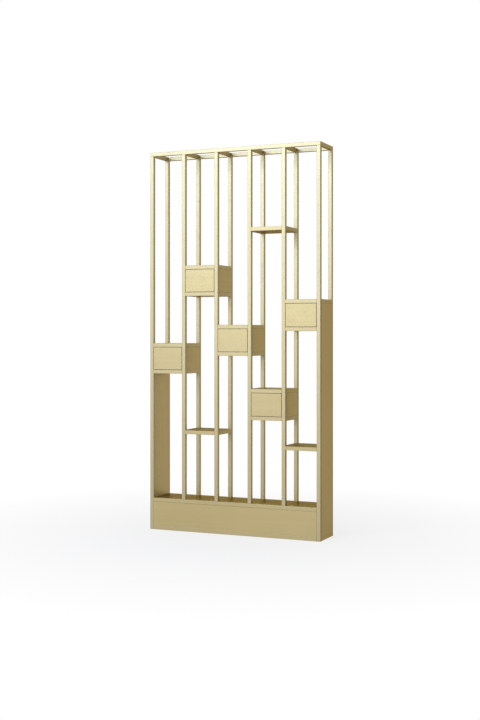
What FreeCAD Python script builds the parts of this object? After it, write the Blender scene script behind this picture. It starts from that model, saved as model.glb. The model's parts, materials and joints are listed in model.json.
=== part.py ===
"""A metal partition: a free-standing screen of square tube, with a closed plinth, five
drawer boxes and three shelves set at different heights in its five bays.

Frame: origin on the floor at the middle of the footprint, X to the right along the screen,
Y to the rear, Z up, in millimetres. Bays and posts are numbered from the left.
"""

import FreeCAD, Part
import os
import Sketcher

# Driving dimensions: each becomes a cell of the sheet named Sizes.
SIZES = {
    "overall_width": 1200.0,
    "overall_height": 2500.0,
    "overall_depth": 240.0,
    "tube_side": 25.0,
    "tube_wall": 1.2,
    "tube_corner": 1.2,
    "bearer_side": 20.0,
    "foot_plate": 2.0,
    "sheet_gauge": 1.2,
    "pan_fold": 8.0,
    "base_height": 210.0,
    "box_height": 200.0,
    "box_1_level": 1035.0,
    "box_2_level": 1545.0,
    "box_3_level": 1155.0,
    "box_4_level": 745.0,
    "box_5_level": 1315.0,
    "shelf_2_level": 640.0,
    "shelf_4_level": 1955.0,
    "shelf_5_level": 562.0,
    "front_gap": 2.0,
    "front_fold": 12.0,
    "tray_height": 110.0,
    "tray_length": 200.0,
    "tray_drop": 10.0,
    "tray_hem": 8.0,
    "drawer_travel": 150.0,
    "runner_height": 35.0,
    "runner_width": 12.7,
    "runner_length": 214.0,
    "runner_gauge": 1.2,
    "runner_lip": 2.5,
    "runner_inner_lip": 1.5,
    "runner_set_back": 3.0,
    "member_gap": 0.5,
    "ball_size": 4.0,
    "ball_gap": 0.3,
    "ball_pitch": 30.0,
    "ball_from_web": 4.7,
    "cage_gauge": 0.8,
    "cage_arm": 8.5,
    "cage_margin": 5.0,
    "slot_length": 9.0,
    "slot_width": 4.5,
    "slot_from_end": 5.0,
    "catch_length": 28.0,
    "catch_height": 14.0,
    "catch_depth": 7.5,
    "catch_set_back": 4.0,
    "guide_depth": 4.0,
    "guide_width": 4.0,
    "chamber_width": 9.0,
    "chamber_length": 9.0,
    "chamber_wall": 5.0,
    "lug_width": 2.4,
    "lug_reach": 6.0,
    "lug_clearance": 2.6,
}
BAYS = 5
BALLS_PER_ROW = 2
TINY = 1e-9

document = FreeCAD.newDocument("MetalPartition")
sheet = document.addObject("Spreadsheet::Sheet", "Sizes")


class Size:
    """A length that carries its value and the sheet formula that gives it."""

    def __init__(self, value, formula):
        self.value = float(value)
        self.formula = formula

    @staticmethod
    def of(number):
        return number if isinstance(number, Size) else Size(number, repr(number))

    def __add__(self, other):
        other = Size.of(other)
        return Size(self.value + other.value, f"({self.formula} + {other.formula})")

    def __sub__(self, other):
        other = Size.of(other)
        return Size(self.value - other.value, f"({self.formula} - {other.formula})")

    def __mul__(self, factor):
        return Size(self.value * factor, f"({self.formula} * {factor})")

    def __truediv__(self, divisor):
        return Size(self.value / divisor, f"({self.formula} / {divisor})")

    def __neg__(self):
        return Size(-self.value, f"(-{self.formula})")


def fill_sheet():
    """Writes the driving dimensions and returns them as sizes by name."""
    for row, (name, value) in enumerate(SIZES.items(), start=1):
        sheet.set(f"A{row}", name)
        sheet.set(f"B{row}", str(value))
        sheet.setAlias(f"B{row}", name)
    document.recompute()
    return {name: Size(value, f"Sizes.{name}") for name, value in SIZES.items()}


S = fill_sheet()
ZERO = Size(0, "0")
SIDE = S["tube_side"]
GAUGE = S["sheet_gauge"]
LEFT = -S["overall_width"] / 2
RIGHT = S["overall_width"] / 2
FRONT = -S["overall_depth"] / 2
REAR = S["overall_depth"] / 2
TOP = S["overall_height"]
PITCH = (S["overall_width"] - SIDE) / BAYS
BAY_WIDTH = PITCH - SIDE
INNER_DEPTH = S["overall_depth"] - SIDE - SIDE
BACK_TUBE = REAR - SIDE
INSIDE_FRONT = FRONT + SIDE


def post_left(number):
    """The left face of a post, counted from 1."""
    return LEFT + PITCH * (number - 1)


def bay_left(number):
    """The left edge of a bay's clear width, counted from 1."""
    return post_left(number) + SIDE


def bays_with(kind):
    """The numbers of the bays that have a level for a box or for a shelf."""
    return [bay for bay in range(1, BAYS + 1) if f"{kind}_{bay}_level" in SIZES]


# Sketches and features

PLANES = {"X": "YZ_Plane", "Y": "XZ_Plane", "Z": "XY_Plane"}


def new_body(name, corner):
    """A body whose placement follows the sheet."""
    body = document.addObject("PartDesign::Body", name)
    body.Label = name
    for letter, size in zip("xyz", corner):
        body.setExpression(f"Placement.Base.{letter}", size.formula)
    return body


def new_sketch(body, name, axis, offset=None):
    """A sketch on the origin plane square to an axis, moved along that axis by offset."""
    sketch = body.newObject("Sketcher::SketchObject", name)
    plane = next(item for item in body.Origin.OriginFeatures if item.Role == PLANES[axis])
    sketch.AttachmentSupport = [(plane, "")]
    sketch.MapMode = "FlatFace"
    if offset is not None:
        shift = -offset if axis == "Y" else offset
        sketch.setExpression("AttachmentOffset.Base.z", shift.formula)
    return sketch


def pin(sketch, shape, point, along, up):
    """Holds one sketch point at two sheet lengths from the sketch origin."""
    for letter, size, axis in (("X", along, -2), ("Y", up, -1)):
        if abs(size.value) < TINY:
            sketch.addConstraint(Sketcher.Constraint("PointOnObject", shape, point, axis))
            continue
        rule = Sketcher.Constraint(f"Distance{letter}", -1, 1, shape, point, size.value)
        index = sketch.addConstraint(rule)
        sketch.setExpression(f"Constraints[{index}]", size.formula)


def draw_outline(sketch, corners):
    """A closed outline of straight lines, corner by corner."""
    points = [FreeCAD.Vector(along.value, up.value, 0) for along, up in corners]
    first = sketch.GeometryCount
    for index, start in enumerate(points):
        end = points[(index + 1) % len(points)]
        sketch.addGeometry(Part.LineSegment(start, end))
    for index, (along, up) in enumerate(corners):
        following = first + (index + 1) % len(corners)
        sketch.addConstraint(Sketcher.Constraint("Coincident", first + index, 2, following, 1))
        pin(sketch, first + index, 1, along, up)


def draw_rectangle(sketch, low, high):
    """A rectangle between two corners."""
    draw_outline(sketch, [low, (high[0], low[1]), high, (low[0], high[1])])


def draw_tube_section(sketch, side):
    """A square tube's section from the sketch origin: its rolled corners are drawn as flats."""
    flat = S["tube_corner"]
    far = side - flat
    wall = S["tube_wall"]
    outer = [(flat, ZERO), (far, ZERO), (side, flat), (side, far),
             (far, side), (flat, side), (ZERO, far), (ZERO, flat)]
    draw_outline(sketch, outer)
    draw_rectangle(sketch, (wall, wall), (side - wall, side - wall))


def pad(body, sketch, length, axis):
    """Extrudes a sketch along the positive direction of its axis."""
    feature = body.newObject("PartDesign::Pad", f"{sketch.Name}_pad")
    feature.Profile = sketch
    feature.Reversed = axis == "Y"
    feature.setExpression("Length", length.formula)
    return feature


def pocket(body, sketch, length, axis):
    """Cuts a sketch into the body along the positive direction of its axis."""
    feature = body.newObject("PartDesign::Pocket", f"{sketch.Name}_pocket")
    feature.Profile = sketch
    feature.Reversed = axis != "Y"
    feature.setExpression("Length", length.formula)
    return feature


# Forms that repeat

def tube(name, axis, corner, length, side=SIDE):
    """A square tube from a corner along an axis, open at both ends."""
    body = new_body(name, corner)
    section = new_sketch(body, f"{name}_section", axis)
    draw_tube_section(section, side)
    pad(body, section, length, axis)
    return body


def pan(name, axis, corner, width, height, fold, face_first):
    """A folded sheet: a flat face with its four edges turned back by fold.

    The face lies at the low end of the axis where face_first is true, else at the high end.
    """
    body = new_body(name, corner)
    outline = new_sketch(body, f"{name}_outline", axis)
    draw_rectangle(outline, (ZERO, ZERO), (width, height))
    pad(body, outline, fold, axis)
    hollow = new_sketch(body, f"{name}_hollow", axis, GAUGE if face_first else None)
    draw_rectangle(hollow, (GAUGE, GAUGE), (width - GAUGE, height - GAUGE))
    pocket(body, hollow, fold - GAUGE, axis)
    return body


def plate(name, axis, corner, width, height, thickness):
    """A flat sheet."""
    body = new_body(name, corner)
    outline = new_sketch(body, f"{name}_outline", axis)
    draw_rectangle(outline, (ZERO, ZERO), (width, height))
    pad(body, outline, thickness, axis)
    return body


def group(name, pieces):
    """Several separate solids that share one name."""
    compound = document.addObject("Part::Compound", name)
    compound.Label = name
    compound.Links = pieces
    return compound


# The tube frame

def make_posts():
    """Twelve posts: the outer four reach the floor, the others stand on the plinth."""
    posts = []
    for row, near in (("front", FRONT), ("rear", BACK_TUBE)):
        for number in range(1, BAYS + 2):
            outer = number in (1, BAYS + 1)
            foot = ZERO if outer else S["base_height"]
            name = f"{row}_post_{number}"
            post = tube(name, "Z", (post_left(number), near, foot), TOP - SIDE - foot)
            if outer:
                close_foot(post, name)
            posts.append(post)
    return posts


def close_foot(post, name):
    """A plate welded into the foot of a post, flush with its end."""
    wall = S["tube_wall"]
    outline = new_sketch(post, f"{name}_foot", "Z")
    draw_rectangle(outline, (wall, wall), (SIDE - wall, SIDE - wall))
    pad(post, outline, S["foot_plate"], "Z")


def make_mitred(name, axis, corner, length, inward):
    """A tube whose two ends are cut at 45 degrees, its short side towards inward."""
    body = tube(name, axis, corner, length)
    cut = new_sketch(body, f"{name}_mitres", "Z")
    for end in (0, 1):
        far = length if end else ZERO
        near = length - SIDE if end else SIDE
        long_side, short_side = (ZERO, SIDE) if inward > 0 else (SIDE, ZERO)
        triangle = [(far, long_side), (near, short_side), (far, short_side)]
        if axis == "Y":
            triangle = [(up, along) for along, up in triangle]
        draw_outline(cut, triangle)
    pocket(body, cut, SIDE, "Z")
    return body


def make_top():
    """The mitred ring on top of the posts, and the cross tubes between the posts' heads."""
    level = TOP - SIDE
    width = S["overall_width"]
    front_rail = make_mitred("top_front_rail", "X", (LEFT, FRONT, level), width, 1)
    rear_rail = make_mitred("top_rear_rail", "X", (LEFT, BACK_TUBE, level), width, -1)
    depth = S["overall_depth"]
    crosses = [make_mitred("top_cross_1", "Y", (LEFT, FRONT, level), depth, 1)]
    for number in range(2, BAYS + 1):
        corner = (post_left(number), INSIDE_FRONT, level)
        crosses.append(tube(f"top_cross_{number}", "Y", corner, INNER_DEPTH))
    last = BAYS + 1
    crosses.append(make_mitred(f"top_cross_{last}", "Y", (RIGHT - SIDE, FRONT, level), depth, -1))
    return [front_rail, rear_rail, group("top_cross_tubes", crosses)]


# The plinth

def make_base():
    """The closed plinth: its rails, bearers, deck, front and rear panels."""
    long = S["overall_width"] - SIDE - SIDE
    start = LEFT + SIDE
    upper = S["base_height"] - SIDE
    rails = []
    for row, near in (("front", FRONT), ("rear", BACK_TUBE)):
        for place, level in (("bottom", ZERO), ("top", upper)):
            rails.append(tube(f"base_{row}_{place}", "X", (start, near, level), long))
    bearer = S["bearer_side"]
    under_deck = S["base_height"] - GAUGE - bearer
    bearers = []
    for number in range(1, BAYS + 2):
        middle = post_left(number) + (SIDE - bearer) / 2
        places = {1: start, BAYS + 1: RIGHT - SIDE - bearer}
        corner = (places.get(number, middle), INSIDE_FRONT, under_deck)
        bearers.append(tube(f"base_bearer_{number}", "Y", corner, INNER_DEPTH, bearer))
    for side, left in (("left", LEFT), ("right", RIGHT - SIDE)):
        bearers.append(tube(f"base_{side}_end", "Y", (left, INSIDE_FRONT, ZERO), INNER_DEPTH))
    height = S["base_height"] - SIDE - SIDE
    fold = S["pan_fold"]
    front = pan("base_front_panel", "Y", (start, FRONT, SIDE), long, height, fold, True)
    rear = pan("base_rear_panel", "Y", (start, REAR - fold, SIDE), long, height, fold, False)
    deck_corner = (start, INSIDE_FRONT, S["base_height"] - GAUGE)
    deck = plate("base_deck", "Z", deck_corner, long, INNER_DEPTH, GAUGE)
    return [group("base_rails", rails), group("base_cross_tubes", bearers), front, rear, deck]


def make_side_panels():
    """The closed end walls. The outer skin runs up past the box in the end bay to that box's
    top tube, and covers the box's side; the inner skin ends under the box.
    """
    panels = []
    fold = S["pan_fold"]
    shallow = SIDE - S["bearer_side"]
    deck = S["base_height"]
    for side, bay in (("left", 1), ("right", BAYS)):
        outer_left = LEFT if side == "left" else RIGHT - shallow
        inner_left = LEFT + SIDE - fold if side == "left" else RIGHT - SIDE
        box_floor = S[f"box_{bay}_level"]
        ceiling = box_floor + S["box_height"] - SIDE
        outer = pan(f"{side}_outer_skin", "X", (outer_left, INSIDE_FRONT, SIDE),
                    INNER_DEPTH, ceiling - SIDE, shallow, side == "left")
        inner = pan(f"{side}_inner_skin", "X", (inner_left, INSIDE_FRONT, deck),
                    INNER_DEPTH, box_floor - deck, fold, side == "right")
        panels.append(group(f"{side}_side_panel", [outer, inner]))
    return panels


# Shelves

def make_shelf(bay):
    """A closed shelf: tubes on its four edges, with a skin above and one below."""
    level = S[f"shelf_{bay}_level"]
    left = bay_left(bay)
    name = f"shelf_{bay}"
    pieces = [
        tube(f"{name}_front_rail", "X", (left, FRONT, level), BAY_WIDTH),
        tube(f"{name}_rear_rail", "X", (left, BACK_TUBE, level), BAY_WIDTH),
        tube(f"{name}_left_rail", "Y", (left - SIDE, INSIDE_FRONT, level), INNER_DEPTH),
    ]
    if bay != BAYS:
        corner = (left + BAY_WIDTH, INSIDE_FRONT, level)
        pieces.append(tube(f"{name}_right_rail", "Y", corner, INNER_DEPTH))
    fold = S["pan_fold"]
    upper = (left, INSIDE_FRONT, level + SIDE - fold)
    lower = (left, INSIDE_FRONT, level)
    pieces.append(pan(f"{name}_top", "Z", upper, BAY_WIDTH, INNER_DEPTH, fold, False))
    pieces.append(pan(f"{name}_bottom", "Z", lower, BAY_WIDTH, INNER_DEPTH, fold, True))
    return group(name, pieces)


# Drawer boxes

def walled_side(bay):
    """The side of a bay that an end wall closes, or None."""
    return {1: "left", BAYS: "right"}.get(bay)


def make_box_rails(bay):
    """The eight tubes that cage a box between its four posts. Behind an end wall's skin, the
    bottom one is a bearer, set back by the skin's fold.
    """
    level = S[f"box_{bay}_level"]
    left = bay_left(bay)
    name = f"box_{bay}"
    rails = []
    for place, floor in (("bottom", level), ("top", level + S["box_height"] - SIDE)):
        rails.append(tube(f"{name}_{place}_front", "X", (left, FRONT, floor), BAY_WIDTH))
        rails.append(tube(f"{name}_{place}_rear", "X", (left, BACK_TUBE, floor), BAY_WIDTH))
        for side in ("left", "right"):
            hidden = place == "bottom" and side == walled_side(bay)
            size = S["bearer_side"] if hidden else SIDE
            along = left - size if side == "left" else left + BAY_WIDTH
            corner = (along, INSIDE_FRONT, floor)
            rails.append(tube(f"{name}_{place}_{side}", "Y", corner, INNER_DEPTH, size))
    return group(f"{name}_rails", rails)


def make_box_skins(bay):
    """The folded skins that close a box, each flush with the tubes round it. A side that an
    end wall covers has none of its own.
    """
    level = S[f"box_{bay}_level"]
    left = bay_left(bay)
    fold = S["pan_fold"]
    inner_height = S["box_height"] - SIDE - SIDE
    above = level + SIDE
    ceiling = level + S["box_height"] - fold
    name = f"box_{bay}"
    skins = [
        pan(f"{name}_floor", "Z", (left, INSIDE_FRONT, level), BAY_WIDTH, INNER_DEPTH, fold, True),
        pan(f"{name}_roof", "Z", (left, INSIDE_FRONT, ceiling), BAY_WIDTH, INNER_DEPTH, fold, False),
        pan(f"{name}_rear_skin", "Y", (left, REAR - fold, above),
            BAY_WIDTH, inner_height, fold, False),
    ]
    places = {"left": left - SIDE, "right": left + BAY_WIDTH + SIDE - fold}
    for side, along in places.items():
        if side != walled_side(bay):
            skins.append(pan(f"{name}_{side}_skin", "X", (along, INSIDE_FRONT, above),
                             INNER_DEPTH, inner_height, fold, side == "left"))
    return group(f"{name}_skins", skins)


def make_drawer(bay):
    """The drawer's double-skinned front and its folded tray."""
    gap = S["front_gap"]
    left = bay_left(bay) + gap
    lower = S[f"box_{bay}_level"] + SIDE + gap
    width = BAY_WIDTH - gap - gap
    height = S["box_height"] - (SIDE + gap) - (SIDE + gap)
    fold = S["front_fold"]
    name = f"drawer_{bay}"
    face = pan(f"{name}_face", "Y", (left, FRONT, lower), width, height, fold, True)
    back = plate(f"{name}_face_back", "Y", (left, FRONT + fold, lower), width, height, GAUGE)
    tray_left = bay_left(bay) + S["runner_width"]
    tray_width = BAY_WIDTH - S["runner_width"] - S["runner_width"]
    corner = (tray_left, FRONT + fold + GAUGE, lower + S["tray_drop"])
    tray = pan(f"{name}_tray", "Z", corner, tray_width, S["tray_length"], S["tray_height"], True)
    hem_tray(tray, f"{name}_tray", tray_width)
    return [group(f"{name}_front", [face, back]), tray]


def hem_tray(tray, name, width):
    """The sheet turned down over the outside of a tray's sides and rear, along the rim."""
    length = S["tray_length"]
    hem = new_sketch(tray, f"{name}_hem", "Z", S["tray_height"] - S["tray_hem"])
    draw_outline(hem, [(-GAUGE, ZERO), (ZERO, ZERO), (ZERO, length), (width, length),
                       (width, ZERO), (width + GAUGE, ZERO), (width + GAUGE, length + GAUGE),
                       (-GAUGE, length + GAUGE)])
    pad(tray, hem, S["tray_hem"], "Z")


# Drawer runners, drawn for the left side of a bay and turned over for the right

RUNNER_TALL = S["runner_height"]
RUNNER_GAUGE = S["runner_gauge"]
RACE = S["ball_size"] + S["ball_gap"] * 2
INNER_LOW = RUNNER_GAUGE + RACE
BALL_RISE = RUNNER_GAUGE + RACE / 2
WEB_FACE = RUNNER_GAUGE + S["ball_gap"]


def mirrored_up(lower):
    """A runner section: the points of its lower half, then their mirror image above."""
    return lower + [(along, RUNNER_TALL - up) for along, up in reversed(lower)]


def fixed_section():
    """The cabinet member: a channel that opens towards the drawer, its lips turned in."""
    reach = S["runner_width"] - RUNNER_GAUGE - S["member_gap"]
    lip = S["runner_lip"]
    lower = [(RUNNER_GAUGE, RUNNER_GAUGE), (reach - RUNNER_GAUGE, RUNNER_GAUGE),
             (reach - RUNNER_GAUGE, lip), (reach, lip), (reach, ZERO), (ZERO, ZERO)]
    return mirrored_up(lower)


def moving_section():
    """The drawer member: a channel that opens towards the cabinet, its lips turned out."""
    width = S["runner_width"]
    tip = WEB_FACE + S["cage_gauge"] + S["member_gap"]
    lip = INNER_LOW - S["runner_inner_lip"]
    inner = INNER_LOW + RUNNER_GAUGE
    lower = [(width - RUNNER_GAUGE, inner), (tip, inner), (tip, lip),
             (tip + RUNNER_GAUGE, lip), (tip + RUNNER_GAUGE, INNER_LOW), (width, INNER_LOW)]
    return mirrored_up(lower)


def cage_section():
    """The ball cage: a thin channel that lies between the two members."""
    thin = S["cage_gauge"]
    low = BALL_RISE - thin / 2
    tip = WEB_FACE + S["cage_arm"]
    lower = [(WEB_FACE + thin, low + thin), (tip, low + thin), (tip, low), (WEB_FACE, low)]
    return mirrored_up(lower)


def section_bar(name, place, outline, length):
    """A bar of one section along Y."""
    body = new_body(name, place)
    section = new_sketch(body, f"{name}_section", "Y")
    draw_outline(section, outline)
    pad(body, section, length, "Y")
    return body


def ball_places():
    """How far along its cage each ball of a row sits."""
    middle = cage_length() / 2
    return [middle + S["ball_pitch"] * (index - (BALLS_PER_ROW - 1) / 2)
            for index in range(BALLS_PER_ROW)]


def cage_length():
    """As long as the two members overlap with the drawer open, less a margin at each end."""
    return S["runner_length"] - S["drawer_travel"] - S["cage_margin"] * 2


def turned_over(body):
    """Turns a left-hand runner piece about its length, to make it right-handed."""
    body.Placement = FreeCAD.Placement(FreeCAD.Vector(), FreeCAD.Rotation(FreeCAD.Vector(0, 1, 0), 180))


def make_cage(name, place):
    """One ball cage, with a hole for each ball in its two edges."""
    cage = section_bar(name, place, cage_section(), cage_length())
    holes = new_sketch(cage, f"{name}_holes", "Z")
    hole = S["ball_size"] / 2 + S["ball_gap"]
    along = WEB_FACE + S["ball_from_web"]
    for index, distance in enumerate(ball_places()):
        centre = FreeCAD.Vector(along.value, distance.value, 0)
        holes.addGeometry(Part.Circle(centre, FreeCAD.Vector(0, 0, 1), hole.value))
        rule = holes.addConstraint(Sketcher.Constraint("Radius", index, hole.value))
        holes.setExpression(f"Constraints[{rule}]", hole.formula)
        pin(holes, index, 3, along, distance)
    pocket(cage, holes, RUNNER_TALL, "Z")
    return cage


def cut_slots(fixed, name):
    """Two screw slots in a cabinet member's web, one over each post."""
    slots = new_sketch(fixed, f"{name}_slots", "X")
    low = (RUNNER_TALL - S["slot_width"]) / 2
    far = S["runner_length"] - S["slot_from_end"]
    for start in (S["slot_from_end"], far - S["slot_length"]):
        draw_rectangle(slots, (start, low), (start + S["slot_length"], low + S["slot_width"]))
    pocket(fixed, slots, RUNNER_GAUGE, "X")


def catch_front():
    """How far along the runner the push catch begins."""
    return (S["runner_length"] - S["slot_from_end"] - S["slot_length"] - S["catch_set_back"]
            - S["catch_length"])


def make_catch(name, place):
    """The push catch: a block on the cabinet member's web, with a guide that is open to the
    front and widens into the chamber in which the drawer member's lug is held.
    """
    height = S["catch_height"]
    block = plate(name, "X", place, S["catch_length"], height, S["catch_depth"])
    guide = new_sketch(block, f"{name}_guide", "X", S["catch_depth"] - S["guide_depth"])
    low = (height - S["guide_width"]) / 2
    wide = (height - S["chamber_width"]) / 2
    back = S["catch_length"] - S["chamber_wall"]
    mouth = back - S["chamber_length"]
    draw_outline(guide, [(ZERO, low), (mouth, low), (mouth, wide), (back, wide),
                         (back, height - wide), (mouth, height - wide), (mouth, height - low),
                         (ZERO, height - low)])
    pocket(block, guide, S["guide_depth"], "X")
    return block


def add_lug(moving, name):
    """The lug on a drawer member's web, which the push catch holds."""
    width = S["lug_width"]
    face = S["runner_width"] - RUNNER_GAUGE
    lug = new_sketch(moving, f"{name}_lug", "X", face - S["lug_reach"])
    back = catch_front() + S["catch_length"] - S["chamber_wall"] - S["lug_clearance"]
    low = (RUNNER_TALL - width) / 2
    draw_rectangle(lug, (back - width, low), (back, low + width))
    pad(moving, lug, S["lug_reach"], "X")


def make_runners(bay):
    """The pair of ball runners of a drawer: fixed members with their push catches, drawer
    members and ball cages.
    """
    low = S[f"box_{bay}_level"] + (S["box_height"] - RUNNER_TALL) / 2
    near = FRONT + S["front_fold"] + GAUGE + S["runner_set_back"]
    half_way = near + S["drawer_travel"] / 2 + S["cage_margin"]
    pieces = {"fixed": [], "moving": [], "cages": []}
    for hand, left in (("left", bay_left(bay)), ("right", bay_left(bay) + BAY_WIDTH)):
        turn = hand == "right"
        base = low + RUNNER_TALL if turn else low
        name = f"runner_{bay}_{hand}"
        fixed = section_bar(f"{name}_fixed", (left, near, base), fixed_section(), S["runner_length"])
        cut_slots(fixed, f"{name}_fixed")
        moving = section_bar(f"{name}_moving", (left, near, base), moving_section(),
                             S["runner_length"])
        add_lug(moving, f"{name}_moving")
        cage = make_cage(f"{name}_cage", (left, half_way, base))
        rise = (RUNNER_TALL - S["catch_height"]) / 2
        out, up = (-RUNNER_GAUGE, -rise) if turn else (RUNNER_GAUGE, rise)
        catch = make_catch(f"{name}_catch", (left + out, near + catch_front(), base + up))
        if turn:
            for body in (fixed, moving, cage, catch):
                turned_over(body)
        pieces["fixed"] += [fixed, catch]
        pieces["moving"].append(moving)
        pieces["cages"].append(cage)
    return [group(f"runner_{bay}_{kind}", parts) for kind, parts in pieces.items()]


# Building, checking and writing

def build():
    """Makes every node of the partition and returns them."""
    nodes = make_posts() + make_top() + make_base() + make_side_panels()
    for bay in bays_with("shelf"):
        nodes.append(make_shelf(bay))
    for bay in bays_with("box"):
        nodes += [make_box_rails(bay), make_box_skins(bay)]
        nodes += make_drawer(bay) + make_runners(bay)
    return nodes


def check(nodes):
    """Stops where an object failed or a node's shape is not sound."""
    for item in document.Objects:
        if "Invalid" in item.State or "Error" in item.State:
            raise RuntimeError(f"{item.Label}: {item.getStatusString()}")
    for node in nodes:
        if node.Shape.isNull() or not node.Shape.isValid() or not node.Shape.Solids:
            raise RuntimeError(f"{node.Label} has no sound solid")


def write(nodes):
    """Writes one STEP file for each node."""
    os.makedirs("parts", exist_ok=True)
    for node in nodes:
        node.Shape.exportStep(f"parts/{node.Label}.step")


nodes = build()
document.recompute()
check(nodes)
write(nodes)
print(len(nodes), "nodes,", sum(len(node.Shape.Solids) for node in nodes), "solids")
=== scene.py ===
"""The looks of a metal partition: brushed champagne-gold tube and folded sheet, five drawers
on ball runners, and the plain studio it stands in.

Every length is in metres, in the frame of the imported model: the origin on the floor at the
middle of the footprint, X to the right, Y to the rear, Z up.
"""

from __future__ import annotations

import json
import logging
import math
from abc import ABC, abstractmethod
from dataclasses import dataclass, field, replace
from enum import Enum
from typing import Union

import bmesh
import bpy
from mathutils import Euler, Matrix, Vector

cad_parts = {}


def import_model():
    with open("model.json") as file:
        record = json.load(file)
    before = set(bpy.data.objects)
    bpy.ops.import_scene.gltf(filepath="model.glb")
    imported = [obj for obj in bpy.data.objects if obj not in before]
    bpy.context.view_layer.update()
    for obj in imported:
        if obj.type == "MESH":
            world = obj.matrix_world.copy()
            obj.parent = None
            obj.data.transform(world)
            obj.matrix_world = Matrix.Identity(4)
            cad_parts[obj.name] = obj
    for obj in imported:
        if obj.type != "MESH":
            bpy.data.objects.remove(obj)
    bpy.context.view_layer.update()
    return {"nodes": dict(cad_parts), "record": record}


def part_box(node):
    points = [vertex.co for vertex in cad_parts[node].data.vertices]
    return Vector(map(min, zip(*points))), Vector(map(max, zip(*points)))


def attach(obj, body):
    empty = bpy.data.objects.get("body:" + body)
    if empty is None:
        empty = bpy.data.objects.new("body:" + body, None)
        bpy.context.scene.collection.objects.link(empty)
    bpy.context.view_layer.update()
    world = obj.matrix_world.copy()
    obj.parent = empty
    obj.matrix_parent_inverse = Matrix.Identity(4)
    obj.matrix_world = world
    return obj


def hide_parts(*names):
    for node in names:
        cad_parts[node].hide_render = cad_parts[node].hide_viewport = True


log = logging.getLogger("partition")
MILLIMETRE = 0.001
BAYS = 5
POSTS = 6
SHELF_BAYS = (2, 4, 5)
RIGHT = Vector((1.0, 0.0, 0.0))
REARWARD = Vector((0.0, 1.0, 0.0))
UP = Vector((0.0, 0.0, 1.0))
WHITE = (1.0, 1.0, 1.0)
MIDDLE = 0.5
Colour = tuple[float, float, float]
Stops = tuple[tuple[float, float], ...]


# Shader building

class Wire:
    """An output socket of a node, on which arithmetic adds Math nodes."""

    def __init__(self, recipe: Recipe, socket: bpy.types.NodeSocket) -> None:
        """Wraps one output socket of a recipe's tree."""
        self.recipe = recipe
        self.socket = socket

    def join(self, operation: str, first: Value, second: Value) -> Wire:
        """Adds one Math node.

        Args:
            operation: the Math node's operation.
            first: its first value.
            second: its second value.

        Returns:
            The node's result.
        """
        return self.recipe.add("ShaderNodeMath", {"operation": operation}, {0: first, 1: second})

    def __add__(self, other: Value) -> Wire:
        """self + other."""
        return self.join("ADD", self, other)

    def __radd__(self, other: Value) -> Wire:
        """other + self."""
        return self.join("ADD", other, self)

    def __sub__(self, other: Value) -> Wire:
        """self - other."""
        return self.join("SUBTRACT", self, other)

    def __rsub__(self, other: Value) -> Wire:
        """other - self."""
        return self.join("SUBTRACT", other, self)

    def __mul__(self, other: Value) -> Wire:
        """self * other."""
        return self.join("MULTIPLY", self, other)

    def __rmul__(self, other: Value) -> Wire:
        """other * self."""
        return self.join("MULTIPLY", other, self)

    def __truediv__(self, other: Value) -> Wire:
        """self / other."""
        return self.join("DIVIDE", self, other)

    def __gt__(self, other: Value) -> Wire:
        """1 where self is greater than other, else 0."""
        return self.join("GREATER_THAN", self, other)

    def __or__(self, other: Value) -> Wire:
        """The greater of the two."""
        return self.join("MAXIMUM", self, other)

    def __abs__(self) -> Wire:
        """The size of self without its sign."""
        return self.recipe.add("ShaderNodeMath", {"operation": "ABSOLUTE"}, {0: self})


Value = Union[Wire, float, tuple]


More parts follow.
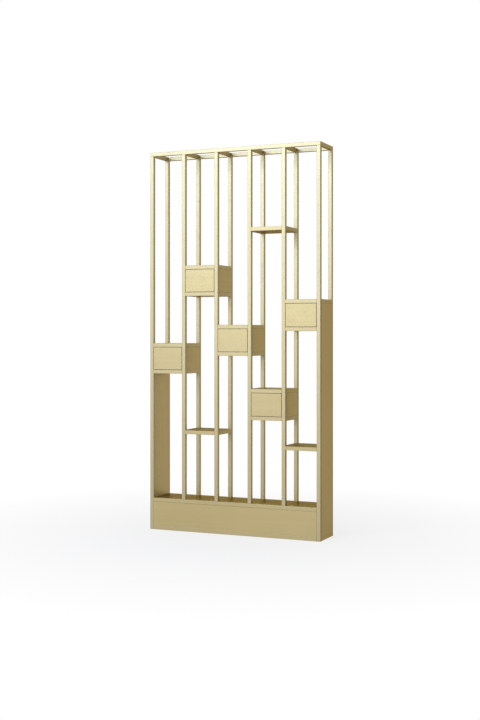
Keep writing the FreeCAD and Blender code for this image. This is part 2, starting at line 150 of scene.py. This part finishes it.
class Recipe:
    """A node tree, and the one way in which nodes are added to it."""

    def __init__(self, tree: bpy.types.NodeTree) -> None:
        """Empties the tree."""
        self.tree = tree
        tree.nodes.clear()

    def add(self, kind: str, settings: dict[str, object], sockets: dict[int | str, Value],
            out: int | str = 0) -> Wire:
        """Adds a node.

        Args:
            kind: the node's type.
            settings: its own properties, set first. A ramp's stops go under "stops".
            sockets: values or wires by input name or number.
            out: the output that is returned.

        Returns:
            That output, wrapped.
        """
        node = self.tree.nodes.new(kind)
        for name, value in settings.items():
            if name == "stops":
                self.set_stops(node.color_ramp, value)
            else:
                setattr(node, name, value)
        for place, value in sockets.items():
            socket = node.inputs[place]
            if isinstance(value, Wire):
                self.tree.links.new(value.socket, socket)
            elif socket.type == "RGBA" and len(value) == 3:
                socket.default_value = (*value, 1.0)
            else:
                socket.default_value = value
        return Wire(self, node.outputs[out] if node.outputs else None)

    @staticmethod
    def set_stops(ramp: bpy.types.ColorRamp, stops: Stops) -> None:
        """Sets a ramp's grey stops.

        Args:
            ramp: the ramp.
            stops: (position, grey) pairs, lowest first.
        """
        while len(ramp.elements) < len(stops):
            ramp.elements.new(1.0)
        for element, (position, grey) in zip(ramp.elements, stops):
            element.position = position
            element.color = (grey, grey, grey, 1.0)

    def place(self) -> Wire:
        """The point of the surface in the object's own frame."""
        return self.add("ShaderNodeTexCoord", {}, {}, "Object")

    def facing(self, axis: str) -> Wire:
        """How far a face looks along an axis, either way: 1 straight along it, 0 across it."""
        normal = self.add("ShaderNodeNewGeometry", {}, {}, "True Normal")
        return abs(self.add("ShaderNodeSeparateXYZ", {}, {0: normal}, axis))

    def edges(self) -> Wire:
        """How far a face is turned from square: 0 on flat faces, more on rolled edges."""
        return 1.0 - (self.facing("X") | self.facing("Y") | self.facing("Z"))

    def stretched(self, point: Wire, factors: Value) -> Wire:
        """A point with each of its coordinates multiplied by a factor of its own."""
        return self.add("ShaderNodeVectorMath", {"operation": "MULTIPLY"}, {0: point, 1: factors})

    def noise(self, point: Wire, scale: float, detail: float) -> Wire:
        """Smooth noise from 0 to 1, with MIDDLE as its average."""
        sockets = {"Vector": point, "Scale": scale, "Detail": detail}
        return self.add("ShaderNodeTexNoise", {}, sockets)

    def ramp(self, value: Wire, stops: Stops) -> Wire:
        """A value passed through a smooth ramp of grey stops."""
        return self.add("ShaderNodeValToRGB", {"stops": stops}, {0: value})

    def blend(self, first: Value, second: Value, share: Value) -> Wire:
        """A colour between two colours, by the share of the second.

        The Mix node's colours are its inputs 6 and 7 and its output 2.
        """
        settings = {"data_type": "RGBA", "clamp_factor": True}
        return self.add("ShaderNodeMix", settings, {0: share, 6: first, 7: second}, 2)

    def between(self, first: Value, second: Value, share: Value) -> Wire:
        """A vector between two vectors, by the share of the second.

        The Mix node's vectors are its inputs 4 and 5 and its output 1.
        """
        settings = {"data_type": "VECTOR"}
        return self.add("ShaderNodeMix", settings, {0: share, 4: first, 5: second}, 1)

    def bump(self, height: Wire, strength: float, depth: float) -> Wire:
        """A normal that shows a height, at a strength and a depth in metres."""
        sockets = {"Height": height, "Strength": strength, "Distance": depth}
        return self.add("ShaderNodeBump", {}, sockets)


def new_material(name: str) -> tuple[bpy.types.Material, Recipe]:
    """A material without nodes, and the recipe that adds them."""
    material = bpy.data.materials.new(name)
    material.use_nodes = True
    return material, Recipe(material.node_tree)


def new_object(name: str, data: bpy.types.ID) -> bpy.types.Object:
    """An object that is in the scene and shows some data."""
    item = bpy.data.objects.new(name, data)
    bpy.context.scene.collection.objects.link(item)
    return item


# Finishes

class Grain(Enum):
    """The way a piece is brushed. FOLDED runs along Y on faces that look sideways, else along X.

    A face looks sideways when more than SIDEWAYS of it faces along X.
    """

    UPRIGHT = "upright"
    LEVEL = "level"
    DEEP = "deep"
    FOLDED = "folded"


ACROSS_WIDTH, ACROSS_DEPTH, UPWARD = range(3)
GRAIN_AXES = {Grain.UPRIGHT: UPWARD, Grain.LEVEL: ACROSS_WIDTH, Grain.DEEP: ACROSS_DEPTH}
SIDEWAYS = 0.7


@dataclass(frozen=True)
class Streaks:
    """Noise drawn out along a piece's grain, in cycles per metre along it and across it."""

    along: float
    across: float
    detail: float

    def factors(self, axis: int) -> Colour:
        """What stretches the noise along one axis."""
        return tuple(self.along if index == axis else self.across for index in range(3))

    def drawn(self, recipe: Recipe, grain: Grain) -> Wire:
        """Adds the streaks to a tree.

        Args:
            recipe: the tree to add to.
            grain: the way of the streaks.

        Returns:
            The streaks, from 0 to 1.
        """
        if grain is Grain.FOLDED:
            factors = recipe.between(self.factors(ACROSS_WIDTH), self.factors(ACROSS_DEPTH),
                                     recipe.facing("X") > SIDEWAYS)
        else:
            factors = self.factors(GRAIN_AXES[grain])
        return recipe.noise(recipe.stretched(recipe.place(), factors), 1.0, self.detail)


@dataclass(frozen=True)
class Mottle:
    """Noise that is the same every way, in cycles per metre."""

    scale: float
    detail: float

    def drawn(self, recipe: Recipe) -> Wire:
        """Adds the mottling to a tree and gives it, from 0 to 1."""
        return recipe.noise(recipe.place(), self.scale, self.detail)


@dataclass(frozen=True)
class Finish(ABC):
    """A finish, which makes its own material. Each kind says what goes into the shader."""

    name: str

    def make(self) -> bpy.types.Material:
        """Builds the material."""
        material, recipe = new_material(self.name)
        shader = recipe.add("ShaderNodeBsdfPrincipled", {}, self.sockets(recipe))
        recipe.add("ShaderNodeOutputMaterial", {}, {"Surface": shader})
        return material

    @abstractmethod
    def sockets(self, recipe: Recipe) -> dict[str, Value]:
        """The values of the shader's sockets.

        Args:
            recipe: the material's tree, to which the pattern is added.

        Returns:
            Values or wires by socket name.
        """


@dataclass(frozen=True)
class Plating(Finish):
    """Champagne-gold plating on brushed steel: clouded, smudged, and paler along its edges."""

    grain: Grain
    colour: Colour = (0.523, 0.443, 0.253)
    deep: Colour = (0.489, 0.409, 0.223)
    worn: Colour = (0.61, 0.53, 0.35)
    edge_tint: Colour = (0.38, 0.27, 0.10)
    metal: float = 0.97
    roughness: float = 0.42
    fine: Streaks = Streaks(9.0, 850.0, 2.0)
    broad: Streaks = Streaks(1.3, 60.0, 3.0)
    clouds: Mottle = Mottle(3.2, 3.0)
    smudges: Mottle = Mottle(17.0, 4.0)
    rubbing: Mottle = Mottle(60.0, 3.0)
    tone_stops: Stops = ((0.36, 0.0), (0.62, 1.0))
    smudge_stops: Stops = ((0.52, 0.0), (0.7, 1.0))
    wear_stops: Stops = ((0.03, 0.0), (0.22, 1.0))
    tone_shares: tuple[float, float, float] = (0.42, 0.34, 0.24)
    wear_share: float = 0.55
    brushed_roughness: float = 0.1
    clouded_roughness: float = 0.08
    smudged_roughness: float = 0.035
    polished_by_wear: float = 0.06
    broad_metal: float = 0.06
    worn_metal: float = 0.1
    broad_height: float = 0.6
    bump_strength: float = 0.045
    bump_depth: float = 0.3 * MILLIMETRE

    def sockets(self, recipe: Recipe) -> dict[str, Value]:
        """The values of the shader's sockets."""
        fine = self.fine.drawn(recipe, self.grain)
        broad = self.broad.drawn(recipe, self.grain)
        clouds = self.clouds.drawn(recipe)
        smudges = recipe.ramp(self.smudges.drawn(recipe), self.smudge_stops)
        rubbed = MIDDLE + self.rubbing.drawn(recipe)
        wear = recipe.ramp(recipe.edges() * rubbed, self.wear_stops)
        of_clouds, of_broad, of_fine = self.tone_shares
        tone = of_clouds * clouds + of_broad * broad + of_fine * fine
        plain = recipe.blend(self.deep, self.colour, recipe.ramp(tone, self.tone_stops))
        return {
            "Base Color": recipe.blend(plain, self.worn, wear * self.wear_share),
            "Metallic": self.metal + (broad - MIDDLE) * self.broad_metal + wear * self.worn_metal,
            "Roughness": (self.roughness + (fine - MIDDLE) * self.brushed_roughness
                          + (clouds - MIDDLE) * self.clouded_roughness
                          + smudges * self.smudged_roughness - wear * self.polished_by_wear),
            "Normal": recipe.bump(fine + self.broad_height * broad, self.bump_strength,
                                  self.bump_depth),
            "Specular Tint": self.edge_tint,
        }


@dataclass(frozen=True)
class Enamel(Finish):
    """A fine-textured powder coat, scuffed along the drawer's travel."""

    colour: Colour = (0.53, 0.44, 0.26)
    pale: Colour = (0.61, 0.52, 0.33)
    roughness: float = 0.5
    peel: Mottle = Mottle(420.0, 2.0)
    clouds: Mottle = Mottle(6.0, 3.0)
    scuffs: Streaks = Streaks(14.0, 260.0, 4.0)
    scuff_stops: Stops = ((0.6, 0.0), (0.74, 1.0))
    wear_stops: Stops = ((0.1, 0.0), (0.35, 1.0))
    peel_in_wear: float = 0.1
    pale_by_clouds: float = 0.7
    pale_by_wear: float = 0.35
    peel_roughness: float = 0.14
    polished_by_scuffs: float = 0.12
    bump_strength: float = 0.18
    bump_depth: float = 0.3 * MILLIMETRE

    def sockets(self, recipe: Recipe) -> dict[str, Value]:
        """The values of the shader's sockets."""
        peel = self.peel.drawn(recipe)
        clouds = self.clouds.drawn(recipe)
        scuffs = recipe.ramp(self.scuffs.drawn(recipe, Grain.DEEP), self.scuff_stops)
        wear = recipe.ramp(recipe.edges() + self.peel_in_wear * peel, self.wear_stops)
        return {
            "Base Color": recipe.blend(self.colour, self.pale,
                                       self.pale_by_clouds * clouds + self.pale_by_wear * wear),
            "Roughness": (self.roughness + (peel - MIDDLE) * self.peel_roughness
                          - scuffs * self.polished_by_scuffs),
            "Normal": recipe.bump(peel, self.bump_strength, self.bump_depth),
        }


@dataclass(frozen=True)
class Zinc(Finish):
    """Bright zinc plating on pressed or turned steel, with a trace of grease."""

    grain: Grain = Grain.DEEP
    colour: Colour = (0.60, 0.61, 0.62)
    dull: Colour = (0.46, 0.47, 0.485)
    roughness: float = 0.3
    drawing: Streaks = Streaks(22.0, 1400.0, 2.0)
    spangle: Mottle = Mottle(140.0, 2.0)
    grease: Mottle = Mottle(45.0, 3.0)
    grease_stops: Stops = ((0.45, 0.0), (0.62, 1.0))
    bright_at_least: float = 0.3
    bright_by_spangle: float = 0.5
    bright_by_drawing: float = 0.2
    drawn_roughness: float = 0.12
    spangle_roughness: float = 0.1
    greased_roughness: float = 0.08
    bump_strength: float = 0.08
    bump_depth: float = 0.2 * MILLIMETRE

    def sockets(self, recipe: Recipe) -> dict[str, Value]:
        """The values of the shader's sockets."""
        drawn = self.drawing.drawn(recipe, self.grain)
        spangle = self.spangle.drawn(recipe)
        grease = recipe.ramp(self.grease.drawn(recipe), self.grease_stops)
        bright = (self.bright_at_least + self.bright_by_spangle * spangle
                  + self.bright_by_drawing * drawn)
        return {
            "Base Color": recipe.blend(self.dull, self.colour, bright),
            "Metallic": 1.0,
            "Roughness": (self.roughness + (drawn - MIDDLE) * self.drawn_roughness
                          + (spangle - MIDDLE) * self.spangle_roughness
                          - grease * self.greased_roughness),
            "Normal": recipe.bump(drawn, self.bump_strength, self.bump_depth),
        }


class Finishes:
    """The materials that the pieces share, each made once, when it is first asked for."""

    def __init__(self) -> None:
        """Starts with none made."""
        self.made: dict[str, bpy.types.Material] = {}

    def get(self, finish: Finish) -> bpy.types.Material:
        """The material of a finish."""
        if finish.name not in self.made:
            self.made[finish.name] = finish.make()
        return self.made[finish.name]


# The posts' near-black edge tint is painted shade: it darkens what their side faces reflect at a
# slant, so they render darker than the sheets.
POST = Plating("post_plating", Grain.UPRIGHT, (0.523, 0.453, 0.281), (0.489, 0.419, 0.25),
               edge_tint=(0.01, 0.01, 0.01))
RING = Plating("ring_plating", Grain.LEVEL, (0.512, 0.445, 0.281), (0.478, 0.411, 0.25))
CROSS = replace(RING, name="cross_tube_plating", grain=Grain.DEEP)
RAIL = Plating("rail_plating", Grain.LEVEL)
BASE_TUBE = Plating("base_tube_plating", Grain.DEEP)
BOX_TUBE = Plating("box_tube_plating", Grain.FOLDED, (0.525, 0.45, 0.27), (0.491, 0.416, 0.24))
# The shelves' darker edge tint is painted shade on their tops, which are seen at a slant.
SHELF = Plating("shelf_plating", Grain.FOLDED, edge_tint=(0.28, 0.20, 0.07))
# The skins' pale edge tint is painted light: it brightens the sides of the boxes and the end walls,
# which are seen at a slant.
SKIN = Plating("skin_plating", Grain.FOLDED, (0.50, 0.413, 0.224), (0.466, 0.379, 0.194),
               edge_tint=(0.52, 0.42, 0.26))
WALL = replace(SKIN, name="end_wall_plating", grain=Grain.UPRIGHT)
# The deck's darker edge tint is painted shade on its top, which is seen at a slant.
DECK = Plating("deck_plating", Grain.LEVEL, edge_tint=(0.32, 0.23, 0.085), roughness=0.3)
PLINTH = Plating("plinth_plating", Grain.LEVEL, (0.535, 0.441, 0.238), (0.50, 0.408, 0.21))
DRAWER_FRONT = Plating("drawer_front_plating", Grain.LEVEL)
TRAY = Enamel("tray_enamel")
RUNNER = Zinc("runner_zinc")
CAGE = Zinc("cage_zinc", colour=(0.52, 0.53, 0.54), dull=(0.40, 0.41, 0.42), roughness=0.36)
BALL = Zinc("ball_steel", colour=(0.72, 0.72, 0.73), dull=(0.62, 0.62, 0.64), roughness=0.12)
SCREW = Zinc("screw_zinc", colour=(0.64, 0.64, 0.64), roughness=0.26)


# Meshes

@dataclass
class Shop:
    """What every sub-assembly is dressed with: the frame's nodes, their slots and the finishes."""

    nodes: dict[str, bpy.types.Object]
    slots: dict[str, str]
    finishes: Finishes
    fit: float = 0.01 * MILLIMETRE
    sharp: float = math.radians(30.0)
    roll_segments: int = 2

    def dress(self, name: str, finish: Finish, rounding: float) -> None:
        """Gives a node of the frame its finish and rolls its edges.

        Args:
            name: the node.
            finish: its finish.
            rounding: the width of the rolled edges.
        """
        piece = self.nodes[name]
        piece.data.materials.clear()
        piece.data.materials.append(self.finishes.get(finish))
        piece.modifiers.new("join", "WELD").merge_threshold = self.fit
        self.roll_edges(piece, rounding)
        log.info("dressed %s in %s", name, finish.name)

    def dress_touching(self, name: str, finish: Finish, rounding: float, body: str) -> None:
        """Stands a copy in for a node whose solids touch, so that each has rolled edges of its own.

        Args:
            name: the node.
            finish: its finish.
            rounding: the width of the rolled edges.
            body: the body that it moves with.
        """
        whole = parts_joined(self.solids(name))
        piece = self.add(f"{name}_rolled", whole, finish, body, self.slots[name], smooth=False)
        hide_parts(name)
        self.roll_edges(piece, rounding)

    def solids(self, name: str) -> list[bmesh.types.BMesh]:
        """Copies each solid of a node as a closed mesh of its own.

        A node's triangles are loose and come solid by solid. A solid ends where every edge so
        far has been met twice.

        Args:
            name: the node.

        Returns:
            One mesh for each solid.
        """
        whole = bmesh.new()
        whole.from_mesh(self.nodes[name].data)
        unmet: set[frozenset] = set()
        owner: list[int] = []
        count = 0
        for face in whole.faces:
            points = [tuple(round(value / self.fit) for value in vert.co) for vert in face.verts]
            for first, second in zip(points, points[1:] + points[:1]):
                unmet ^= {frozenset((first, second))}
            owner.append(count)
            if not unmet:
                count += 1
        parts = []
        for number in range(count):
            part = whole.copy()
            others = [face for face, of in zip(part.faces, owner) if of != number]
            bmesh.ops.delete(part, geom=others, context="FACES")
            bmesh.ops.remove_doubles(part, verts=part.verts, dist=self.fit)
            parts.append(part)
        whole.free()
        return parts

    def roll_edges(self, piece: bpy.types.Object, rounding: float) -> None:
        """Rounds a piece's sharp edges.

        Args:
            piece: the piece.
            rounding: the width of each rounded edge.
        """
        edges = piece.modifiers.new("rolled_edges", "BEVEL")
        edges.width = rounding
        edges.segments = self.roll_segments
        edges.limit_method = "ANGLE"
        edges.angle_limit = self.sharp
        edges.use_clamp_overlap = True
        edges.miter_outer = "MITER_ARC"

    def add(self, name: str, mesh: bmesh.types.BMesh, finish: Finish, body: str, slot: str,
            smooth: bool = True) -> bpy.types.Object:
        """Makes a new piece from a finished mesh.

        Args:
            name: the piece's name.
            mesh: its shape, in place. It is freed.
            finish: its finish.
            body: the body that it moves with.
            slot: not used.
            smooth: whether its faces are shaded as one round surface.

        Returns:
            The piece.
        """
        data = bpy.data.meshes.new(name)
        bmesh.ops.recalc_face_normals(mesh, faces=mesh.faces)
        for face in mesh.faces:
            face.smooth = smooth
        mesh.to_mesh(data)
        mesh.free()
        data.materials.append(self.finishes.get(finish))
        piece = new_object(name, data)
        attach(piece, body)
        log.info("made %s, which rides on %s", name, body)
        return piece


def parts_joined(parts: list[bmesh.types.BMesh]) -> bmesh.types.BMesh:
    """One mesh that holds several. The several are freed."""
    whole = bmesh.new()
    for part in parts:
        scratch = bpy.data.meshes.new("scratch")
        part.to_mesh(scratch)
        part.free()
        whole.from_mesh(scratch)
        bpy.data.meshes.remove(scratch)
    return whole


# Sub-assemblies

@dataclass
class Assembly(ABC):
    """Pieces that belong together and are dressed in one shop."""

    shop: Shop

    @abstractmethod
    def build(self) -> None:
        """Dresses the assembly's pieces and makes what the frame leaves out."""


@dataclass
class TubeFrame(Assembly):
    """The twelve posts and the mitred ring on their heads."""

    rounding: float = 0.5 * MILLIMETRE

    def build(self) -> None:
        """Dresses the posts, the top rails and the cross tubes."""
        for row in ("front", "rear"):
            for number in range(1, POSTS + 1):
                self.shop.dress(f"{row}_post_{number}", POST, self.rounding)
            self.shop.dress(f"top_{row}_rail", RING, self.rounding)
        self.shop.dress("top_cross_tubes", CROSS, self.rounding)


@dataclass
class Plinth(Assembly):
    """The closed plinth."""

    rounding: float = 0.5 * MILLIMETRE

    def build(self) -> None:
        """Dresses the rails, the tubes between them, the two panels and the deck."""
        self.shop.dress("base_rails", RAIL, self.rounding)
        self.shop.dress("base_cross_tubes", BASE_TUBE, self.rounding)
        for name in ("base_front_panel", "base_rear_panel"):
            self.shop.dress(name, PLINTH, self.rounding)
        self.shop.dress("base_deck", DECK, self.rounding / 2)


@dataclass
class EndWalls(Assembly):
    """The closed walls at the two ends."""

    rounding: float = 0.5 * MILLIMETRE

    def build(self) -> None:
        """Dresses both walls."""
        for side in ("left", "right"):
            self.shop.dress(f"{side}_side_panel", WALL, self.rounding)


@dataclass
class Shelf(Assembly):
    """One closed shelf."""

    bay: int
    rounding: float = 0.5 * MILLIMETRE

    def build(self) -> None:
        """Dresses the shelf's tubes and skins."""
        self.shop.dress_touching(f"shelf_{self.bay}", SHELF, self.rounding, "frame")


@dataclass
class BallRunners(Assembly):
    """A drawer's pair of runners, and the steel balls in their cages."""

    bay: int
    ball_size: float = 4.0 * MILLIMETRE
    ball_from_wall: float = 6.2 * MILLIMETRE
    ball_pitch: float = 30.0 * MILLIMETRE
    ball_sides: int = 20
    ball_rings: int = 12
    cage_gauge: float = 0.8 * MILLIMETRE
    rounding: float = 0.2 * MILLIMETRE

    def build(self) -> None:
        """Dresses the members and cages and fills the cages' holes with balls."""
        self.shop.dress(f"runner_{self.bay}_fixed", RUNNER, self.rounding)
        self.shop.dress(f"runner_{self.bay}_moving", RUNNER, self.rounding)
        self.shop.dress(f"runner_{self.bay}_cages", CAGE, self.rounding / 2)
        balls = parts_joined([self.ball(place) for place in self.ball_places()])
        self.shop.add(f"runner_{self.bay}_balls", balls, BALL, f"ball_cages_{self.bay}",
                      "runner_steel")

    def ball_places(self) -> list[Vector]:
        """Where each ball's centre sits, in a hole of a cage."""
        wall_low, wall_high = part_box(f"runner_{self.bay}_fixed")
        low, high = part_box(f"runner_{self.bay}_cages")
        middle = (low.y + high.y) / 2
        across = (wall_low.x + self.ball_from_wall, wall_high.x - self.ball_from_wall)
        along = (middle - self.ball_pitch / 2, middle + self.ball_pitch / 2)
        levels = (low.z + self.cage_gauge / 2, high.z - self.cage_gauge / 2)
        return [Vector((x, y, z)) for x in across for y in along for z in levels]

    def ball(self, centre: Vector) -> bmesh.types.BMesh:
        """One steel ball."""
        mesh = bmesh.new()
        bmesh.ops.create_uvsphere(mesh, u_segments=self.ball_sides, v_segments=self.ball_rings,
                                  radius=self.ball_size / 2, matrix=Matrix.Translation(centre))
        return mesh


@dataclass
class PanScrew:
    """A pan-head screw with a cross recess, of which only the head shows."""

    radius: float = 3.6 * MILLIMETRE
    height: float = 2.1 * MILLIMETRE
    crown: float = 1.68 * MILLIMETRE
    recess_width: float = 0.9 * MILLIMETRE
    recess_length: float = 4.0 * MILLIMETRE
    recess_depth: float = 1.1 * MILLIMETRE
    sides: int = 28
    crown_segments: int = 4
    flat_within: float = 0.002 * MILLIMETRE

    def head(self, seat: Vector, outward: Vector) -> bmesh.types.BMesh:
        """One screw head.

        Args:
            seat: the middle of the face that it is screwed onto.
            outward: the way that its top looks.

        Returns:
            The head's mesh, in place.
        """
        mesh = bmesh.new()
        bmesh.ops.create_circle(mesh, cap_ends=True, segments=self.sides, radius=self.radius)
        grown = bmesh.ops.extrude_face_region(mesh, geom=list(mesh.faces))
        upper = [item for item in grown["geom"] if isinstance(item, bmesh.types.BMVert)]
        bmesh.ops.translate(mesh, verts=upper, vec=UP * self.height)
        rim = [edge for edge in mesh.edges if all(vert in upper for vert in edge.verts)]
        bmesh.ops.bevel(mesh, geom=rim, offset=self.crown, segments=self.crown_segments,
                        profile=0.5, affect="EDGES", material=-1)
        self.cut_recess(mesh)
        turn = UP.rotation_difference(outward).to_matrix().to_4x4()
        bmesh.ops.transform(mesh, matrix=Matrix.Translation(seat) @ turn, verts=mesh.verts)
        return mesh

    def cut_recess(self, mesh: bmesh.types.BMesh) -> None:
        """Sinks a cross into the flat top of a head that still stands at the origin."""
        near, far = self.recess_width / 2, self.recess_length / 2
        for axis in (RIGHT, REARWARD):
            for distance in (-far, -near, near, far):
                everything = list(mesh.verts) + list(mesh.edges) + list(mesh.faces)
                bmesh.ops.bisect_plane(mesh, geom=everything, plane_co=axis * distance,
                                       plane_no=axis)
        cross = [face for face in mesh.faces if self.in_cross(face)]
        sunk = bmesh.ops.extrude_face_region(mesh, geom=cross)
        floor = [item for item in sunk["geom"] if isinstance(item, bmesh.types.BMVert)]
        bmesh.ops.translate(mesh, verts=floor, vec=UP * -self.recess_depth)
        bmesh.ops.delete(mesh, geom=cross, context="FACES")

    def in_cross(self, face: bmesh.types.BMFace) -> bool:
        """Whether a face of the flat top lies in the cross."""
        centre = face.calc_center_median()
        if centre.z < self.height - self.flat_within:
            return False
        shorter, longer = sorted((abs(centre.x), abs(centre.y)))
        return shorter < self.recess_width / 2 and longer < self.recess_length / 2


@dataclass
class Drawer(Assembly):
    """One drawer: its double front, its tray and the screws that join tray, front and runners."""

    bay: int
    gauge: float = 1.2 * MILLIMETRE
    rounding: float = 0.7 * MILLIMETRE
    tray_rounding: float = 0.4 * MILLIMETRE
    side_shares: tuple[float, ...] = (0.12, 0.5, 0.9)
    front_shares: tuple[float, ...] = (0.2, 0.8)
    front_levels: tuple[float, ...] = (0.3, 0.75)
    screw: PanScrew = field(default_factory=PanScrew)

    def build(self) -> None:
        """Dresses the front and the tray and adds the screws."""
        body = f"drawer_{self.bay}"
        self.shop.dress_touching(f"drawer_{self.bay}_front", DRAWER_FRONT, self.rounding, body)
        self.shop.dress(f"drawer_{self.bay}_tray", TRAY, self.tray_rounding)
        screws = parts_joined(self.side_screws() + self.front_screws())
        self.shop.add(f"drawer_{self.bay}_screws", screws, SCREW, body, "runner_steel")

    def side_screws(self) -> list[bmesh.types.BMesh]:
        """The heads inside the tray that hold its sides to the runners."""
        low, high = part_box(f"drawer_{self.bay}_tray")
        runner_low, runner_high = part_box(f"runner_{self.bay}_moving")
        level = (runner_low.z + runner_high.z) / 2
        heads = []
        for share in self.side_shares:
            along = low.y + (high.y - low.y) * share
            left = Vector((low.x + self.gauge, along, level))
            right = Vector((high.x - self.gauge, along, level))
            heads.append(self.screw.head(left, RIGHT))
            heads.append(self.screw.head(right, -RIGHT))
        return heads

    def front_screws(self) -> list[bmesh.types.BMesh]:
        """The heads inside the tray that hold it to the drawer's front."""
        low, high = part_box(f"drawer_{self.bay}_tray")
        heads = []
        for share in self.front_shares:
            for level in self.front_levels:
                seat = Vector((low.x + (high.x - low.x) * share, low.y + self.gauge,
                               low.z + (high.z - low.z) * level))
                heads.append(self.screw.head(seat, REARWARD))
        return heads


@dataclass
class DrawerBox(Assembly):
    """One box between four posts, with its drawer and runners."""

    bay: int
    rounding: float = 0.5 * MILLIMETRE

    def build(self) -> None:
        """Dresses the box and builds what is in it."""
        self.shop.dress_touching(f"box_{self.bay}_rails", BOX_TUBE, self.rounding, "frame")
        self.shop.dress(f"box_{self.bay}_skins", SKIN, self.rounding)
        Drawer(self.shop, self.bay).build()
        BallRunners(self.shop, self.bay).build()


# The studio

@dataclass
class SoftBox:
    """A large square lamp that looks at a point."""

    name: str
    place: Vector
    target: Vector
    width: float
    height: float
    power: float
    colour: Colour

    def build(self) -> None:
        """Hangs the lamp."""
        lamp = bpy.data.lights.new(self.name, "AREA")
        lamp.shape = "RECTANGLE"
        lamp.size = self.width
        lamp.size_y = self.height
        lamp.energy = self.power
        lamp.color = self.colour
        stand = new_object(self.name, lamp)
        stand.visible_camera = False
        stand.location = self.place
        stand.rotation_euler = (self.target - self.place).to_track_quat("-Z", "Y").to_euler()


KEY = SoftBox("key", Vector((-2.5, -6.3, 4.4)), Vector((0.0, 0.0, 2.2)), 4.0, 2.4, 144.0,
              (0.64, 0.79, 1.0))
OVERHEAD = SoftBox("overhead", Vector((-2.7, -7.0, 6.2)), Vector((0.0, 0.0, 2.4)), 5.0, 2.0, 112.0,
                   (0.525, 0.69, 1.0))
FRONT_FILL = SoftBox("front_fill", Vector((-2.6, -7.4, 1.8)), Vector((0.0, 0.0, 1.2)), 3.0, 1.6,
                     41.0, (0.95, 1.0, 1.0))


@dataclass
class Camera:
    """The photograph's point of view, fitted to the object's corners and post edges."""

    place: Vector = field(default_factory=lambda: Vector((3.0684, -6.9574, 1.2919)))
    turn: float = 0.4154
    lens: float = 58.16
    sensor: float = 36.0
    rise: float = -0.0352

    def build(self) -> None:
        """Sets up the scene's camera."""
        data = bpy.data.cameras.new("camera")
        data.lens = self.lens
        data.sensor_width = self.sensor
        data.shift_y = self.rise
        camera = new_object("camera", data)
        camera.location = self.place
        camera.rotation_euler = Euler((math.pi / 2, 0.0, self.turn))
        bpy.context.scene.camera = camera


@dataclass
class Studio:
    """A pale floor under a white surround, and soft lamps."""

    floor_size: float = 40.0
    floor_tone: float = 0.9
    floor_bounce: float = 0.35
    glow_reach: float = 4.0
    glow_stops: Stops = ((0.12, 0.78), (0.6, 1.0))
    surround: float = 0.4
    mirrored: Colour = (0.89, 0.858, 0.808)
    lamps: tuple[SoftBox, ...] = (KEY, OVERHEAD, FRONT_FILL)

    def build(self) -> None:
        """Makes the floor, the surround, the lamps and the camera."""
        self.make_floor()
        self.make_surround()
        for lamp in self.lamps:
            lamp.build()
        Camera().build()
        bpy.context.scene.view_settings.view_transform = "Standard"

    @staticmethod
    def seen(recipe: Recipe) -> Wire:
        """1 for rays from the camera and for what metal and glass show of the studio, else 0."""
        direct = recipe.add("ShaderNodeLightPath", {}, {}, "Is Camera Ray")
        glossy = recipe.add("ShaderNodeLightPath", {}, {}, "Is Glossy Ray")
        through = recipe.add("ShaderNodeLightPath", {}, {}, "Is Transmission Ray")
        return direct | glossy | through

    def white(self, recipe: Recipe) -> Wire:
        """Plain white, which metal mirrors a little dimmer and warmer."""
        glossy = recipe.add("ShaderNodeLightPath", {}, {}, "Is Glossy Ray")
        return recipe.blend(WHITE, self.mirrored, glossy)

    def make_floor(self) -> None:
        """Lays a pale floor that looks white and keeps the object's shadow."""
        mesh = bmesh.new()
        bmesh.ops.create_grid(mesh, x_segments=1, y_segments=1, size=self.floor_size / 2)
        data = bpy.data.meshes.new("floor")
        mesh.to_mesh(data)
        mesh.free()
        floor = new_object("floor", data)
        material, recipe = new_material("pale_floor")
        seen = self.seen(recipe)
        tone = self.floor_bounce + (self.floor_tone - self.floor_bounce) * seen
        lit = recipe.add("ShaderNodeBsdfDiffuse", {}, {"Color": tone})
        bright = recipe.add("ShaderNodeEmission", {},
                            {"Color": self.white(recipe), "Strength": 1.0})
        distance = recipe.add("ShaderNodeVectorMath", {"operation": "LENGTH"},
                              {0: recipe.place()}, "Value")
        glow = recipe.ramp(distance / self.glow_reach, self.glow_stops)
        mixed = recipe.add("ShaderNodeMixShader", {}, {0: seen * glow, 1: lit, 2: bright})
        recipe.add("ShaderNodeOutputMaterial", {}, {"Surface": mixed})
        data.materials.append(material)

    def make_surround(self) -> None:
        """Surrounds the scene with white that lights the object softly."""
        world = bpy.data.worlds.new("surround")
        world.use_nodes = True
        bpy.context.scene.world = world
        recipe = Recipe(world.node_tree)
        strength = self.surround + (1.0 - self.surround) * self.seen(recipe)
        shade = recipe.add("ShaderNodeBackground", {}, {"Color": self.white(recipe),
                                                        "Strength": strength})
        recipe.add("ShaderNodeOutputWorld", {}, {"Surface": shade})


def main() -> None:
    """Builds the partition and its studio."""
    logging.basicConfig(level=logging.INFO, format="%(message)s")
    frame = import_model()
    slots = {part["node"]: part["material_slot"] for part in frame["record"]["subparts"]}
    shop = Shop(frame["nodes"], slots, Finishes())
    assemblies: list[Assembly] = [TubeFrame(shop), Plinth(shop), EndWalls(shop)]
    assemblies += [Shelf(shop, bay) for bay in SHELF_BAYS]
    assemblies += [DrawerBox(shop, bay) for bay in range(1, BAYS + 1)]
    for assembly in assemblies:
        assembly.build()
    Studio().build()


if __name__ == "__main__":
    main()
